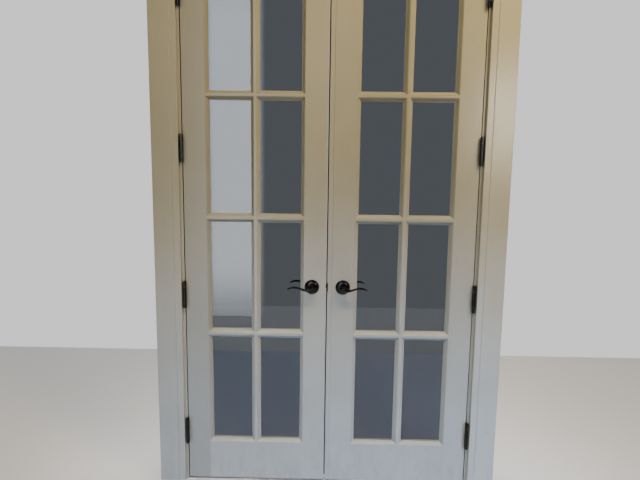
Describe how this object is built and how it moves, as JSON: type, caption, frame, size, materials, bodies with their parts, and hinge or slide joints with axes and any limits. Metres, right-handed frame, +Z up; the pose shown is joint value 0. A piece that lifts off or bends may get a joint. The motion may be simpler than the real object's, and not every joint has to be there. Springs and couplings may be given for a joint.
{
  "type": "french doors",
  "caption": "Pair of glazed timber doors in a cased frame, divided into tall panes, with butt hinges, waved lever handles, a latch and flush bolts.",
  "frame": {"origin": "bottom centre of the bounding box: on the floor, midway between the outer edges of the casings and midway through the depth with the lever handles", "axes": "+Z up; +X to the right for someone facing the side shown in the picture, on which the leaves open; +Y away from that person, through the doorway"},
  "size_m": [1.492, 0.1916, 2.423],
  "materials": {
    "painted_wood": "semi-gloss warm grey paint",
    "clear_glass": "clear polished",
    "hinge_black": "satin black bronze",
    "dark_bronze": "satin dark bronze",
    "latch_steel": "brushed",
    "bolt_brass": "aged satin",
    "seal_rubber": "matt black"
  },
  "bodies": {
    "frame": {"left_jamb": "painted_wood", "right_jamb": "painted_wood", "head_jamb": "painted_wood", "left_stop": "painted_wood", "right_stop": "painted_wood", "head_stop": "painted_wood", "front_left_casing": "painted_wood", "front_right_casing": "painted_wood", "front_head_casing": "painted_wood", "back_left_casing": "painted_wood", "back_right_casing": "painted_wood", "back_head_casing": "painted_wood", "head_bolt_socket": "bolt_brass", "left_frame_hinge_plates": "hinge_black", "right_frame_hinge_plates": "hinge_black", "left_hinge_pins": "hinge_black", "right_hinge_pins": "hinge_black", "left_hinge_bearings": "hinge_black", "right_hinge_bearings": "hinge_black"},
    "left_leaf": {"left_hinge_stile": "painted_wood", "left_lock_stile": "painted_wood", "left_top_rail": "painted_wood", "left_bottom_rail": "painted_wood", "left_upright_bar": "painted_wood", "left_cross_bars": "painted_wood", "left_panes": "clear_glass", "left_glazing_beads": "painted_wood", "left_leaf_hinge_plates": "hinge_black", "left_front_rose": "dark_bronze", "left_back_rose": "dark_bronze", "left_rose_bolts": "dark_bronze", "latch_case": "dark_bronze"},
    "right_leaf": {"right_hinge_stile": "painted_wood", "right_lock_stile": "painted_wood", "right_top_rail": "painted_wood", "right_bottom_rail": "painted_wood", "right_upright_bar": "painted_wood", "right_cross_bars": "painted_wood", "right_panes": "clear_glass", "right_glazing_beads": "painted_wood", "right_leaf_hinge_plates": "hinge_black", "right_front_rose": "dark_bronze", "right_back_rose": "dark_bronze", "right_front_lever": "dark_bronze", "right_back_lever": "dark_bronze", "meeting_strip": "painted_wood", "meeting_seal": "seal_rubber", "strike_plate": "dark_bronze"},
    "left_lever": {"left_front_lever": "dark_bronze", "left_back_lever": "dark_bronze", "lever_spindle": "latch_steel"},
    "latch": {"latch_bolt": "dark_bronze"},
    "top_bolt": {"top_flush_bolt": "bolt_brass"},
    "bottom_bolt": {"bottom_flush_bolt": "bolt_brass"}
  },
  "joints": [
    {"name": "left_leaf_swing", "type": "hinge", "parent": "frame", "child": "left_leaf", "pos_m": [-0.6205, -0.05045, 1.148], "axis": [0, 0, -1], "range_deg": [0, 175]},
    {"name": "right_leaf_swing", "type": "hinge", "parent": "frame", "child": "right_leaf", "pos_m": [0.6205, -0.05045, 1.148], "axis": [0, 0, 1], "range_deg": [0, 175]},
    {"name": "left_lever_turn", "type": "hinge", "parent": "left_leaf", "child": "left_lever", "pos_m": [-0.0723, -0.0155, 0.9], "axis": [0, -1, 0], "range_deg": [0, 50], "stiffness_Nm_per_rad": 1.5, "springref_deg": -28.65},
    {"name": "latch_slide", "type": "slide", "parent": "left_leaf", "child": "latch", "axis": [-1, 0, 0], "range_m": [0, 0.0125]},
    {"name": "top_bolt_slide", "type": "slide", "parent": "right_leaf", "child": "top_bolt", "axis": [0, 0, 1], "range_m": [0, 0.016]},
    {"name": "bottom_bolt_slide", "type": "slide", "parent": "right_leaf", "child": "bottom_bolt", "axis": [0, 0, -1], "range_m": [0, 0.016]}
  ],
  "couplings": [
    {"joint": "latch_slide", "follows": "left_lever_turn", "m_per_rad": 0.014323}
  ]
}
